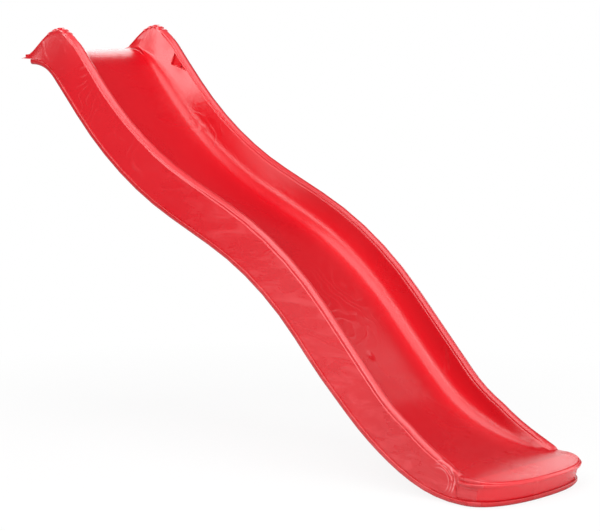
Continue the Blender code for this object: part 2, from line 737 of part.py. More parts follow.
def drum(name, centre, direction, radius, length, collection, sides=32):
    """A plain round bar from centre along direction."""
    mesh = bmesh.new()
    bmesh.ops.create_cone(mesh, cap_ends=True, segments=sides, radius1=radius, radius2=radius, depth=length)
    turn = Vector((0, 0, 1)).rotation_difference(direction).to_matrix().to_4x4()
    bmesh.ops.transform(mesh, matrix=turn, verts=mesh.verts)
    bmesh.ops.translate(mesh, vec=centre + direction * (length / 2), verts=mesh.verts)
    data = bpy.data.meshes.new(name)
    mesh.to_mesh(data)
    mesh.free()
    return link(bpy.data.objects.new(name, data), collection)


def grown(corners, margin):
    """The corners moved out from their middle by about the margin."""
    middle = Vector((sum(c[0] for c in corners), sum(c[1] for c in corners))) / len(corners)
    return [tuple(Vector(c) + (Vector(c) - middle).normalized() * margin) for c in corners]


def turned(name, profile, centre, collection, sides=36):
    """A ring turned about the across axis: profile is (across, radius), a closed outline."""
    data = bpy.data.meshes.new(name)
    mesh = bmesh.new()
    points = [mesh.verts.new((radius, 0, across)) for across, radius in profile]
    for k in range(len(points)):
        mesh.edges.new((points[k - 1], points[k]))
    bmesh.ops.spin(mesh, geom=mesh.verts[:] + mesh.edges[:], axis=(0, 0, 1), cent=(0, 0, 0),
                   angle=math.tau, steps=sides, use_merge=True)
    bmesh.ops.remove_doubles(mesh, verts=mesh.verts, dist=1e-6)
    bmesh.ops.transform(mesh, matrix=Matrix.Rotation(-math.pi / 2, 4, "X"), verts=mesh.verts)
    bmesh.ops.translate(mesh, vec=(centre.x, 0, centre.z), verts=mesh.verts)
    bmesh.ops.recalc_face_normals(mesh, faces=mesh.faces)
    mesh.to_mesh(data)
    mesh.free()
    return link(bpy.data.objects.new(name, data), collection)


def boolean(target, other, operation):
    modifier = target.modifiers.new(other.name, "BOOLEAN")
    modifier.operation = operation
    modifier.object = other
    modifier.solver = "EXACT"


def link(obj, collection):
    collection.objects.link(obj)
    return obj


def as_cutter(obj):
    obj.display_type = "WIRE"
    obj.hide_render = True
    return obj


def finish(obj, colour, roughness):
    material = bpy.data.materials.new(obj.name)
    material.use_nodes = True
    shader = material.node_tree.nodes["Principled BSDF"]
    shader.inputs["Base Color"].default_value = colour
    shader.inputs["Roughness"].default_value = roughness
    shader.inputs["Metallic"].default_value = 0.0
    obj.data.materials.append(material)
    obj.data.shade_smooth()
    obj.data.set_sharp_from_angle(angle=math.radians(40))


# Pieces
def build_upper(parts, cutters):
    obj = shell("upper_shell", upper_outer, upper_inner, upper_stations(), 0.006,
                (upper_nose(), upper_inner_nose()), (TOP_ROWS, 8), PLATE_ROWS)
    link(obj, parts)
    inlet = bend(STEEP_AT + INLET_ALONG, 0, INLET_HEIGHT)
    across = Vector((0, 1, 0))
    # A solid block ties the two walls together behind the pocket.
    block = as_cutter(prism("inlet_block", grown(POCKET, POCKET_WALL),
                            lambda h: wall_across(h) + WALL / 2,
                            lambda h: panel_across(h) - WALL / 2, cutters))
    boolean(obj, block, "UNION")
    pad = as_cutter(drum("inlet_pad", Vector((inlet.x, pad_face() - PAD_DEPTH, inlet.z)), across,
                         PAD_RADIUS, PAD_DEPTH, cutters))
    boolean(obj, pad, "UNION")
    pocket = as_cutter(prism("pocket_cut", POCKET, lambda h: wall_across(h) - 0.01,
                             lambda h: POCKET_FLOOR, cutters))
    boolean(obj, pocket, "DIFFERENCE")
    start = POCKET_FLOOR - 2 * POCKET_WALL
    bore = as_cutter(drum("inlet_bore", Vector((inlet.x, start, inlet.z)), across,
                          INLET_RADIUS + INLET_CLEARANCE, pad_face() + POCKET_WALL - start, cutters))
    boolean(obj, bore, "DIFFERENCE")
    for number, side in enumerate((-1, 1)):
        place = Vector((0, side * SCREW_HOLE_HALF_PITCH, -0.01))
        hole = as_cutter(drum("screw_hole_%d" % number, place, Vector((0, 0, 1)), SCREW_HOLE_RADIUS,
                              0.04, cutters, sides=24))
        boolean(obj, hole, "DIFFERENCE")
    finish(obj, RED, 0.32)


def build_under(parts):
    obj = shell("under_shell", under_outer, under_inner, under_stations(), 0.006,
                (under_nose(under_outer(LEVEL_AT)[UNDER_TOP:]),
                 under_nose(under_inner(LEVEL_AT)[UNDER_TOP:])), (UNDER_TOP, UNDER_TOP), 0)
    link(obj, parts)
    finish(obj, RED, 0.34)


def build_inlet(parts):
    """Threaded insert that feeds the pocket, and the washer under its collar."""
    centre = bend(STEEP_AT + INLET_ALONG, 0, INLET_HEIGHT)
    mouth = POCKET_FLOOR
    face = pad_face() + FIT_GAP
    collar = face + SEAL_THICKNESS + FIT_GAP
    end = collar + COLLAR_THICKNESS
    profile = (
        (mouth, INLET_BORE), (mouth, INLET_RADIUS), (collar, INLET_RADIUS), (collar, COLLAR_RADIUS),
        (end, COLLAR_RADIUS), (end, SOCKET_RADIUS), (collar + SOCKET_LENGTH - 0.001, SOCKET_RADIUS),
        (collar + SOCKET_LENGTH, SOCKET_RADIUS - 0.001), (collar + SOCKET_LENGTH, SOCKET_BORE),
        (collar + 0.001, SOCKET_BORE), (collar + 0.001, INLET_BORE),
    )
    finish(turned("water_inlet_socket", profile, centre, parts), DARK_RED, 0.4)
    ring = (
        (face, INLET_RADIUS + FIT_GAP), (face, SEAL_RADIUS),
        (face + SEAL_THICKNESS, SEAL_RADIUS), (face + SEAL_THICKNESS, INLET_RADIUS + FIT_GAP),
    )
    finish(turned("inlet_seal", ring, centre, parts), BLACK, 0.8)


def main():
    for obj in list(bpy.data.objects):
        bpy.data.objects.remove(obj, do_unlink=True)
    parts = bpy.data.collections.new("garden_slide")
    cutters = bpy.data.collections.new("cutters")
    for collection in (parts, cutters):
        bpy.context.scene.collection.children.link(collection)
    build_upper(parts, cutters)
    build_under(parts)
    build_inlet(parts)


main()
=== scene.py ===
"""An outdoor wave slide of moulded red plastic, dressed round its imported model.

The slide starts at the lip that lies on a platform, runs along +X and down to the run-out plate on the
ground. Lengths are metres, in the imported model's own frame.
"""

import math

import bmesh
import bpy
from mathutils import Matrix, Vector


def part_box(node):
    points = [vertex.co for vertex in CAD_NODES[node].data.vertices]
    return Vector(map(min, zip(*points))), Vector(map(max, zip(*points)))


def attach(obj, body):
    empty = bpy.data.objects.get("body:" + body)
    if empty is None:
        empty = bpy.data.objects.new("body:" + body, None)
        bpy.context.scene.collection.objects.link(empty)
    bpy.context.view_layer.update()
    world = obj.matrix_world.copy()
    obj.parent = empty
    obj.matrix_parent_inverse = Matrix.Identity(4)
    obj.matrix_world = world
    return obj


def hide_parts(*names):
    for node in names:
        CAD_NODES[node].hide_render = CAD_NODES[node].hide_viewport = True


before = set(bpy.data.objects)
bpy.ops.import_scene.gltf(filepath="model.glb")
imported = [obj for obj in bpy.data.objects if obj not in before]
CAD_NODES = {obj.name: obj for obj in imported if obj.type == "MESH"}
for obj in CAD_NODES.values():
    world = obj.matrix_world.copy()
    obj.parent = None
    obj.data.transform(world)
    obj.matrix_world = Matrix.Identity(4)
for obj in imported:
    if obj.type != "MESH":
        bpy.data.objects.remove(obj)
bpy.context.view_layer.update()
GROUND = min(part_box("upper_shell")[0].z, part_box("under_shell")[0].z)


# How a material is built

# The Mix node has a pair of sockets for each kind of value. These are the ones for colours
MIX_AMOUNT, MIX_FIRST, MIX_SECOND = 0, 6, 7


class Value:
    """A number that varies over a surface. Sums with it add Math nodes to its material."""

    def __init__(self, finish, socket):
        self.finish = finish
        self.socket = socket

    def __add__(self, other):
        return self.finish.math("ADD", self, other)

    __radd__ = __add__

    def __sub__(self, other):
        return self.finish.math("SUBTRACT", self, other)

    def __rsub__(self, other):
        return self.finish.math("SUBTRACT", other, self)

    def __mul__(self, other):
        return self.finish.math("MULTIPLY", self, other)

    __rmul__ = __mul__

    def __abs__(self):
        return self.finish.math("ABSOLUTE", self)


class Finish:
    """A material, built node by node."""

    def __init__(self, name):
        self.material = bpy.data.materials.new(name)
        self.material.use_nodes = True
        self.tree = self.material.node_tree
        self.shader = self.tree.nodes["Principled BSDF"]
        self.output = self.tree.nodes["Material Output"]

    def node(self, kind, settings=None, inputs=None, out=None):
        """A node with its settings made first and its sockets filled after. Gives one of its outputs."""
        made = self.tree.nodes.new(kind)
        for key, value in (settings or {}).items():
            setattr(made, key, value)
        for key, value in (inputs or {}).items():
            self.fill(made.inputs[key], value)
        offered = [socket for socket in made.outputs if socket.enabled]
        found = next(socket for socket in offered if out in (None, socket.name))
        return Value(self, found)

    def fill(self, socket, value):
        """Links a varying value to a socket, or writes a constant on it."""
        if isinstance(value, Value):
            self.tree.links.new(value.socket, socket)
        else:
            socket.default_value = value

    def math(self, operation, first, second=0.0):
        """One Math node on two numbers."""
        return self.node("ShaderNodeMath", {"operation": operation}, {0: first, 1: second})

    def vector(self, operation, inputs, out="Vector"):
        """One Vector Math node."""
        return self.node("ShaderNodeVectorMath", {"operation": operation}, inputs, out)

    def place(self):
        """The point on the piece, in metres."""
        return self.node("ShaderNodeTexCoord", out="Object")

    def parts(self, point):
        """The x, y and z of a point."""
        first = self.node("ShaderNodeSeparateXYZ", inputs={0: point})
        return [Value(self, socket) for socket in first.socket.node.outputs]

    def stretched(self, point, scale, turn=(0, 0, 0)):
        """The same point with each direction scaled, and turned in degrees."""
        turned = tuple(math.radians(angle) for angle in turn)
        sockets = {"Vector": point, "Rotation": turned, "Scale": scale}
        return self.node("ShaderNodeMapping", inputs=sockets)

    def noise(self, point, scale, detail=2.0, rough=0.5, twist=0.0):
        """Soft noise from 0 to 1."""
        sockets = {
            "Vector": point,
            "Scale": scale,
            "Detail": detail,
            "Roughness": rough,
            "Distortion": twist,
        }
        return self.node("ShaderNodeTexNoise", inputs=sockets, out="Fac")

    def step(self, value, low, high):
        """Rises smoothly from 0 at low to 1 at high."""
        sockets = {"Value": value, "From Min": low, "From Max": high}
        return self.node(
            "ShaderNodeMapRange", {"interpolation_type": "SMOOTHSTEP"}, sockets, "Result"
        )

    def between(self, value, low, high, new_low, new_high):
        """Turns one span of numbers into another, and stays inside the new one."""
        sockets = {
            "Value": value,
            "From Min": low,
            "From Max": high,
            "To Min": new_low,
            "To Max": new_high,
        }
        return self.node("ShaderNodeMapRange", {"clamp": True}, sockets, "Result")

    def blend(self, amount, first, second):
        """A colour between two colours."""
        sockets = {MIX_AMOUNT: amount, MIX_FIRST: first, MIX_SECOND: second}
        return self.node("ShaderNodeMix", {"data_type": "RGBA"}, sockets)

    def from_spot(self, point, spot, scale=(1, 1, 1)):
        """How far the point is from a spot, with each direction scaled."""
        away = self.vector("SUBTRACT", {0: point, 1: spot})
        away = self.vector("MULTIPLY", {0: away, 1: scale})
        return self.vector("LENGTH", {0: away}, "Value")

    def near(self, point, spot, reach, scale=(1, 1, 1)):
        """1 at a spot, falling softly to 0 at its reach."""
        return 1 - self.step(self.from_spot(point, spot, scale), 0.0, reach)

    def line(self, value, width):
        """A soft ridge where the value passes 0."""
        return 1 - self.step(abs(value), 0.0, width)

    def bump(self, height, depth, strength, under=None):
        """Small relief, its depth in metres. Another bump may lie under it."""
        sockets = {"Height": height, "Distance": depth, "Strength": strength}
        if under is not None:
            sockets["Normal"] = under
        return self.node("ShaderNodeBump", inputs=sockets)

    def set(self, **sockets):
        """Fills the shader's own sockets. An underscore stands for a space."""
        for key, value in sockets.items():
            self.fill(self.shader.inputs[key.replace("_", " ")], value)


# The studio

PHOTO_WIDTH = 600
CAMERA_PLACE = Vector((5.5919, -4.9211, 0.3381))
CAMERA_RIGHT = Vector((0.732136, 0.681159, 0.0))
CAMERA_UP = Vector((-0.096252, 0.103455, 0.989966))
CAMERA_AHEAD = Vector((-0.674324, 0.724789, -0.141306))
FOCAL_PIXELS = 2169.78
SENSOR = 36.0
FARTHEST_SEEN = 200

ROOM_GLOW = 0.12
WHITE = (1, 1, 1, 1)
SOFTBOXES = (
    # name, place, what it faces, width, height, glow
    ("overhead", (2.0, -0.6, 2.2), (2.0, -0.6, 0.0), 2.8, 2.8, 2.8),
    ("front_high", (0.3, -2.6, 1.7), (0.3, 0.0, 1.7), 2.6, 1.2, 3.8),
    ("front_left", (-1.8, -2.2, 1.35), (0.3, 0.2, 0.6), 1.9, 1.1, 5.6),
    ("front_right", (2.7, -2.6, 1.1), (1.2, 0.0, 0.0), 1.4, 2.0, 6.0),
    ("back_left", (-1.8, 2.0, 1.2), (0.1, 0.0, 0.0), 1.6, 1.7, 2.8),
    ("back_right", (2.7, 2.4, 0.3), (1.9, 0.0, 0.3), 1.4, 2.8, 2.0),
    ("back_low", (-0.1, 2.4, -0.5), (-0.1, 0.0, -0.5), 1.4, 1.1, 1.4),
    ("front_low", (0.1, -2.6, -0.6), (0.6, 0.0, -0.6), 1.6, 1.1, 0.8),
    ("right_low", (3.4, -0.1, -0.5), (1.0, 0.0, -0.5), 2.4, 1.0, 2.2),
)

# The studio floor lies a hair under the slide's foot, so that the two don't share one plane
FLOOR_GAP = 0.0004
FLOOR_MIDDLE = Vector((0.95, 0.0, GROUND - FLOOR_GAP))
FLOOR_RADIUS = 40
FLOOR_PAINT = (0.86, 0.86, 0.86, 1)
# The floor turns white over this distance from its middle, from this share of white
SHADOW_REACH = (0.8, 1.9)
WHITE_SHARE = (0.88, 1.0)
# What the plastic mirrors of the floor is brightened over this distance, by this much
MIRRORED_REACH = (1.0, 4.0)
MIRRORED_GLOW = 0.25


def set_up_camera():
    """A camera fitted to the photograph."""
    data = bpy.data.cameras.new("camera")
    data.sensor_fit = "HORIZONTAL"
    data.sensor_width = SENSOR
    data.lens = FOCAL_PIXELS / PHOTO_WIDTH * SENSOR
    data.clip_end = FARTHEST_SEEN
    camera = bpy.data.objects.new("camera", data)
    turn = Matrix((CAMERA_RIGHT, CAMERA_UP, -CAMERA_AHEAD)).transposed()
    camera.matrix_world = Matrix.Translation(CAMERA_PLACE) @ turn.to_4x4()
    bpy.context.scene.collection.objects.link(camera)
    bpy.context.scene.camera = camera


def softbox(name, place, target, width, height, glow):
    """A large rectangular lamp, aimed at a point. Its face is as bright as glow times white."""
    data = bpy.data.lights.new(name, "AREA")
    data.shape = "RECTANGLE"
    data.size = width
    data.size_y = height
    data.energy = math.pi * width * height * glow
    lamp = bpy.data.objects.new(name, data)
    aim = (Vector(target) - Vector(place)).to_track_quat("-Z", "Y")
    lamp.matrix_world = Matrix.Translation(Vector(place)) @ aim.to_matrix().to_4x4()
    lamp.visible_camera = False
    bpy.context.scene.collection.objects.link(lamp)


def set_up_light():
    """A dim white room with softboxes round the slide. The camera sees it plain white."""
    world = bpy.data.worlds.new("studio")
    world.use_nodes = True
    bpy.context.scene.world = world
    tree = world.node_tree
    dim = tree.nodes["Background"]
    dim.inputs["Color"].default_value = WHITE
    dim.inputs["Strength"].default_value = ROOM_GLOW
    white = tree.nodes.new("ShaderNodeBackground")
    white.inputs["Color"].default_value = WHITE
    white.inputs["Strength"].default_value = 1.0
    path = tree.nodes.new("ShaderNodeLightPath")
    mix = tree.nodes.new("ShaderNodeMixShader")
    tree.links.new(path.outputs["Is Camera Ray"], mix.inputs[0])
    tree.links.new(dim.outputs[0], mix.inputs[1])
    tree.links.new(white.outputs[0], mix.inputs[2])
    tree.links.new(mix.outputs[0], tree.nodes["World Output"].inputs["Surface"])
    for box in SOFTBOXES:
        softbox(*box)


def make_floor():
    """A pale studio floor that keeps the slide's soft shadow and fades into the white round it."""
    bpy.ops.object.select_all(action="DESELECT")
    bpy.ops.mesh.primitive_circle_add(
        vertices=96, radius=FLOOR_RADIUS, fill_type="NGON", location=FLOOR_MIDDLE
    )
    floor = bpy.context.object
    floor.name = "floor"
    finish = Finish("pale_floor")
    paint = finish.node("ShaderNodeBsdfDiffuse", inputs={"Color": FLOOR_PAINT})
    white = finish.node("ShaderNodeEmission", inputs={"Color": WHITE, "Strength": 1.0})
    away = finish.vector("LENGTH", {0: finish.place()}, "Value")
    seen = finish.node("ShaderNodeLightPath", out="Is Camera Ray")
    mirrored = finish.node("ShaderNodeLightPath", out="Is Glossy Ray")
    glare = seen * finish.between(away, *SHADOW_REACH, *WHITE_SHARE)
    glare = glare + mirrored * finish.step(away, *MIRRORED_REACH) * MIRRORED_GLOW
    mixed = finish.node("ShaderNodeMixShader", inputs={0: glare, 1: paint, 2: white})
    finish.fill(finish.output.inputs["Surface"], mixed)
    floor.data.materials.append(finish.material)
    bpy.ops.object.transform_apply(location=False, rotation=True, scale=True)


# The finishes

# Colours, as linear red, green and blue
# Each skin's brighter and deeper red, blended by place as painted light and shade
BRIGHT_REDS = ((0.70, 0.0045, 0.013, 1), (0.555, 0.0035, 0.010, 1))
# The skin under the slide and the inlet socket get a darker copy of the same red: painted shade
SHADED_UNDER_REDS = ((0.55, 0.004, 0.009, 1), (0.50, 0.003, 0.008, 1))
# Pale red for the real flow lines and swirls, and for the painted sheen and highlights
PALE_RED = (0.80, 0.10, 0.11, 1)
# Pale red of the real scuffs, and of the painted glints on the grip ridges
RUBBED_AND_GLINT_RED = (0.90, 0.42, 0.43, 1)
# Painted shade for the floor before the run-out plate
SHADED_RED = (0.46, 0.003, 0.009, 1)
RUBBER_BLACKS = ((0.010, 0.010, 0.010, 1), (0.028, 0.028, 0.028, 1))

# How smooth the plastic is between the clouds' dark and light, and what roughens it
CLOUDS = (0.3, 0.7)
ROUGHNESS = (0.23, 0.30)
SKIN_ROUGH = 0.03
LINES_ROUGH = 0.04
HAZE_ROUGH = 0.10
LIGHT_BENDING = 1.5
MIRRORING = 0.62
RUBBER_ROUGHNESS = (0.62, 0.8)

# How strongly each mark shows in the colour
LINES_PALE = 0.10
SWIRLS_PALE = 0.09
# The haze's pale colour is a painted sheen
HAZE_AND_SHEEN_PALE = 0.32
SCUFFS_PALE = 0.55
# Painted highlights on the rounded rims
RIM_HIGHLIGHT_PALE = 0.42
# Painted glints on the grip ridges' ends
GRIP_GLINT_PALE = 0.6
# Painted shade before the run-out plate
RUNOUT_SHADED = 0.55
# Painted light and shade: how much of the brighter red the side panels and the upper floor have, less at
# the panels' ends, and how far the clouds vary it
PANEL_BRIGHT = 0.42
ENDS_DEEPER = 0.45
UPPER_END = 1.6
UPPER_FLOOR_BRIGHT = 0.55
CLOUDY = 0.2

# Depths of the relief
WAVES_DEEP = 0.0034
DENTS_DEEP = 0.0030
CREASE_DEEP = 0.0060
MARKS_DEEP = 0.0010
FIBRES_DEEP = 0.0006
SKIN_DEEP = 0.0002
RUBBER_DEEP = 0.0002

# Bands in which one surface passes into the next, as distances from the slide's middle line
FLOOR_TO_WALL = (0.09, 0.16)
UNDER_RAIL = (0.188, 0.196)
WALL_TO_RAIL = (0.197, 0.203)
RAIL = (0.200, 0.206)
PANEL = (0.2270, 0.2300)
# The same along the slide
EAR = (0.12, 0.20)
UPPER_END_FADES = (0.10, 0.24)
UPPER_PART_FADES = (0.45, 0.95)
RAIL_SHADE_STARTS = (0.5, 0.9)
HAZE_GROWS = (0.45, 1.25)
LOWER_END_STARTS = (1.40, 1.62)
WALLS_END = (1.70, 1.80)
NOSE = (1.885, 1.90)
# Normals that point this far upwards belong to rounded rims, between steep walls and level faces
RIM_FROM, RIM_TO = (0.20, 0.42), (0.80, 0.93)

# The near side's lower end is scuffed in rings: radius, width, strength
SCUFF_MIDDLE = (1.775, 0.0, -1.140)
SCUFF_RINGS = (
    (0.056, 0.0035, 1.0),
    (0.047, 0.0028, 0.7),
    (0.037, 0.0030, 0.6),
)
SCUFFED_PANEL = (0.225, 0.230)
SCUFFED_FROM = (1.755, 1.785)
SCUFFED_ABOVE = (-1.172, -1.155)
# Round spots: where each is, how far it reaches, and how each direction is scaled
# Painted shade on the floor before the run-out plate
RUNOUT_SHADE_SPOT = ((1.70, 0.03, -1.07), 0.24, (1.0, 0.8, 1.0))
SWIRL_SPOT = ((1.19, 0.01, -0.72), 0.26, (1.0, 1.1, 1.0))
STREAK_SPOTS = (
    ((0.42, 0.19, -0.22), 0.13),
    ((0.63, 0.19, -0.32), 0.07),
)
DENTS = (
    ((1.4395, 0.194, -0.873), 0.028, (1.4, 1, 0.8)),
    ((1.452, 0.194, -0.905), 0.020, (1.3, 1, 0.6)),
    ((0.415, 0.191, -0.222), 0.034, (0.8, 1, 1.3)),
    ((1.3366, -0.0309, -0.864), 0.018, (0.5, 1, 1)),
)
WRINKLES_SPOT = ((0.44, 0.19, -0.19), 0.26)
POCKET_SPOT = ((0.268, 0.20, -0.03), 0.09)
# The crease at the far end of the crest follows a ring
CREASE_MIDDLE = (0.0775, 0.088, 0.0)
CREASE_RADIUS = 0.095
CREASE_WIDTH = 0.0055
CREASE_ACROSS = (0.168, 0.176)
CREASE_ABOVE = (-0.004, 0.004)
CREASE_ENDS = (0.10, 0.13)
# The grip ridges stand out past both edges of the ears' rails
RIDGES_INSIDE = (0.2002, 0.2018)
RIDGES_OUTSIDE = (0.2284, 0.2298)
RIDGES_ABOVE = (0.05, 0.06)
RIDGES_END = (0.17, 0.19)
RIDGES_UPWARD = (0.15, 0.40)
# The upper walls' normals lean upwards between these distances from the middle and along the slide,
# less at the wrinkles and round the pocket
LEAN = 0.40
LEAN_FROM, LEAN_TO = (0.10, 0.13), (0.1970, 0.2045)
LEAN_STARTS, LEAN_ENDS = (0.12, 0.22), (0.62, 0.98)
WRINKLES_UNLEANED = 0.55
POCKET_UNLEANED = 0.6


def flow_lines(finish, point, scale, turn, warp, width, seed):
    """Thin bright lines that wander across the plastic, like the flow marks of a moulding."""
    # Each seed looks at another part of the same noise
    moved = finish.vector("ADD", {0: point, 1: (seed, 2.3 * seed, 0.7 * seed)})
    drift = finish.noise(moved, scale=5.0, detail=2.0, rough=0.5)
    across = finish.parts(finish.stretched(moved, (1, 1, 1), turn))[0]
    to_and_fro = finish.math("PINGPONG", (across + drift * warp) * scale, 1.0)
    return finish.line(to_and_fro - 0.5, width)


def panel_lines(finish, point, side):
    """Lines on the side panels: steep arcs that fan down from the rail, and loops low down."""
    patch = finish.noise(point, scale=4.5, detail=2.0, rough=0.5, twist=0.6)
    fans = flow_lines(finish, point, scale=11.0, turn=(0, 24, 0), warp=0.26, width=0.16, seed=0.0)
    veins = flow_lines(finish, point, scale=26.0, turn=(0, -30, 0), warp=0.40, width=0.20, seed=3.1)
    lines = fans * finish.step(patch, 0.44, 0.62) + veins * finish.step(patch, 0.54, 0.40) * 0.6
    broken = finish.step(finish.noise(point, scale=13.0, detail=2.0, rough=0.6), 0.46, 0.64)
    return lines * side * broken


def panel_haze_and_sheen(finish, point, side):
    """A slanting haze that grows along the side panels; it roughens them, and its pale colour is a
    painted sheen.
    """
    x, _, _ = finish.parts(point)
    slanting = finish.stretched(point, (7.0, 2.0, 24.0), (0, -32, 0))
    haze = finish.noise(slanting, scale=1.0, detail=3.0, rough=0.6, twist=0.8)
    return finish.step(haze, 0.42, 0.72) * side * finish.step(x, *HAZE_GROWS)


def corner_scuffs(finish, point):
    """Curved scuffs on the near side's lower end."""
    x, y, z = finish.parts(point)
    away = finish.from_spot(point, SCUFF_MIDDLE, (1, 0, 1))
    rings = sum(finish.line(away - radius, width) * strength for radius, width, strength in SCUFF_RINGS)
    on_panel = finish.step(0 - y, *SCUFFED_PANEL)
    on_end = finish.step(x, *SCUFFED_FROM) * finish.step(z, *SCUFFED_ABOVE)
    worn = finish.step(finish.noise(point, scale=60.0), 0.30, 0.55)
    return rings * on_panel * on_end * worn


def inner_marks(finish, point, inside):
    """Swirls on the sliding floor, and streaks on the far wall."""
    swirls = flow_lines(finish, point, scale=20.0, turn=(40, 0, 50), warp=0.55, width=0.24, seed=1.7)
    streaks = flow_lines(finish, point, scale=15.0, turn=(0, 0, 62), warp=0.50, width=0.20, seed=5.2)
    on_floor = finish.near(point, *SWIRL_SPOT)
    on_wall = sum(finish.near(point, *spot) for spot in STREAK_SPOTS)
    return (swirls * on_floor + streaks * on_wall) * inside


def painted_light_and_shade(finish, point, side, shade):
    """How bright the red is at each place, set to match the photograph's colours: painted light where
    the floor turns up into the walls, on the upper floor and at the nose, painted shade under the rails
    and at the side panels' ends.
    """
    x, y, _ = finish.parts(point)
    below_rail = 1 - finish.step(abs(y), *UNDER_RAIL) * finish.step(x, *RAIL_SHADE_STARTS)
    turn = finish.step(abs(y), *FLOOR_TO_WALL) * below_rail
    turn = turn * (1 - finish.step(x, *WALLS_END)) + finish.step(x, *NOSE)
    turn = turn + (1 - finish.step(x, *UPPER_PART_FADES)) * (1 - turn) * UPPER_FLOOR_BRIGHT
    upper_end = (1 - finish.step(x, *UPPER_END_FADES)) * UPPER_END
    ends = side * (upper_end + finish.step(x, *LOWER_END_STARTS))
    bright = (1 - side) * turn + side * PANEL_BRIGHT - ends * ENDS_DEEPER
    return bright * (1 - CLOUDY + shade * CLOUDY)


def painted_rim_highlights(finish, point, up):
    """Painted highlights on the rounded edges: the rails, the ledges, the parting line and the nose."""
    x, y, _ = finish.parts(point)
    rim = finish.step(up, *RIM_FROM) * (1 - finish.step(up, *RIM_TO))
    outer = finish.step(abs(y), *RAIL) * finish.step(x, *EAR)
    nose = finish.step(x, *NOSE) * (1 - outer)
    return rim * (outer + nose)


def painted_grip_glints(finish, point, up):
    """Painted glints on the ends of the grip ridges on the ears."""
    x, y, z = finish.parts(point)
    ends = finish.step(abs(y), *RIDGES_OUTSIDE) + 1 - finish.step(abs(y), *RIDGES_INSIDE)
    on_ear = finish.step(z, *RIDGES_ABOVE) * (1 - finish.step(x, *RIDGES_END))
    return ends * finish.step(up, *RIDGES_UPWARD) * on_ear


def crest_crease(finish, point):
    """The curved crease where the crest meets the far ear."""
    x, y, z = finish.parts(point)
    away = finish.from_spot(point, CREASE_MIDDLE, (1, 1, 0))
    crease = finish.line(away - CREASE_RADIUS, CREASE_WIDTH)
    crease = crease * finish.step(y, *CREASE_ACROSS) * finish.step(z, *CREASE_ABOVE)
    return crease * (1 - finish.step(x, *CREASE_ENDS))


def lit_walls(finish, point, up, relief):
    """Turns the normals of the upper walls upwards, so that light spreads on them as in the photograph.

    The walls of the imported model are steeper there, and their mesh stays as it is.
    """
    x, y, _ = finish.parts(point)
    wall = finish.step(abs(y), *LEAN_FROM) * (1 - finish.step(abs(y), *LEAN_TO))
    wall = wall * finish.step(x, *LEAN_STARTS) * (1 - finish.step(x, *LEAN_ENDS))
    wall = wall * (1 - finish.near(point, *WRINKLES_SPOT) * WRINKLES_UNLEANED)
    wall = wall * (1 - finish.near(point, *POCKET_SPOT) * POCKET_UNLEANED)
    lean = finish.math("MAXIMUM", LEAN - up, 0.0) * wall
    lifted = finish.vector("SCALE", {0: (0.0, 0.0, 1.0), "Scale": lean})
    return finish.vector("NORMALIZE", {0: finish.vector("ADD", {0: relief, 1: lifted})})


def red_plastic(name, colour, deep):
    """Moulded polyethylene: glossy, a little wavy, with flow lines, dents and a fine skin."""
    finish = Finish(name)
    point = finish.place()
    _, y, _ = finish.parts(point)
    _, _, up = finish.parts(finish.node("ShaderNodeNewGeometry", out="Normal"))
    side = finish.step(abs(y), *PANEL)
    inside = 1 - side
    cloud = finish.noise(point, scale=3.0, detail=3.0, rough=0.55, twist=0.4)
    skin = finish.noise(point, scale=420.0, detail=2.0, rough=0.6)
    stretched = finish.stretched(point, (34.0, 330.0, 34.0))
    fibres = finish.noise(stretched, scale=1.0, detail=2.0, rough=0.6, twist=0.2)
    stretched = finish.stretched(point, (6.0, 11.0, 6.0), (0, 40, 0))
    waves = finish.noise(stretched, scale=1.0, detail=1.0, rough=0.4, twist=0.3)
    lines = panel_lines(finish, point, side)
    haze = panel_haze_and_sheen(finish, point, side)
    scuffs = corner_scuffs(finish, point)
    marks = inner_marks(finish, point, inside)
    runout_shade = finish.near(point, *RUNOUT_SHADE_SPOT) * inside

    shade = finish.between(cloud, *CLOUDS, 0.0, 1.0)
    # Painted light and shade: the red brighter or deeper by place
    red = finish.blend(painted_light_and_shade(finish, point, side, shade), deep, colour)
    # Painted shade on the floor before the run-out plate
    red = finish.blend(runout_shade * RUNOUT_SHADED, red, SHADED_RED)
    # Real flow lines and swirls, and the haze's painted sheen, in pale red
    red = finish.blend(lines * LINES_PALE + marks * SWIRLS_PALE + haze * HAZE_AND_SHEEN_PALE, red, PALE_RED)
    red = finish.blend(scuffs * SCUFFS_PALE, red, RUBBED_AND_GLINT_RED)
    # Painted highlights on the rounded rims, in pale red
    red = finish.blend(painted_rim_highlights(finish, point, up) * RIM_HIGHLIGHT_PALE, red, PALE_RED)
    # Painted glints on the grip ridges' ends
    red = finish.blend(painted_grip_glints(finish, point, up) * GRIP_GLINT_PALE, red, RUBBED_AND_GLINT_RED)
    rough = finish.between(cloud, *CLOUDS, *ROUGHNESS)
    rough = rough + skin * SKIN_ROUGH + lines * LINES_ROUGH + haze * HAZE_ROUGH

    # Relief, from the broad to the fine
    relief = finish.bump(waves * inside, WAVES_DEEP, 0.5)
    dents = sum(finish.near(point, *dent) for dent in DENTS)
    relief = finish.bump(1 - dents, DENTS_DEEP, 0.8, relief)
    relief = finish.bump(crest_crease(finish, point), CREASE_DEEP, 1.0, relief)
    relief = finish.bump(lines + marks + haze * 0.8 + scuffs, MARKS_DEEP, 0.7, relief)
    grained = 1 - finish.step(abs(y), *WALL_TO_RAIL) * inside
    relief = finish.bump(fibres * inside * grained, FIBRES_DEEP, 0.5, relief)
    relief = finish.bump(skin * grained, SKIN_DEEP, 0.65, relief)
    relief = lit_walls(finish, point, up, relief)

    finish.set(Base_Color=red, Roughness=rough, Normal=relief)
    finish.set(IOR=LIGHT_BENDING, Specular_IOR_Level=MIRRORING)
    return finish.material


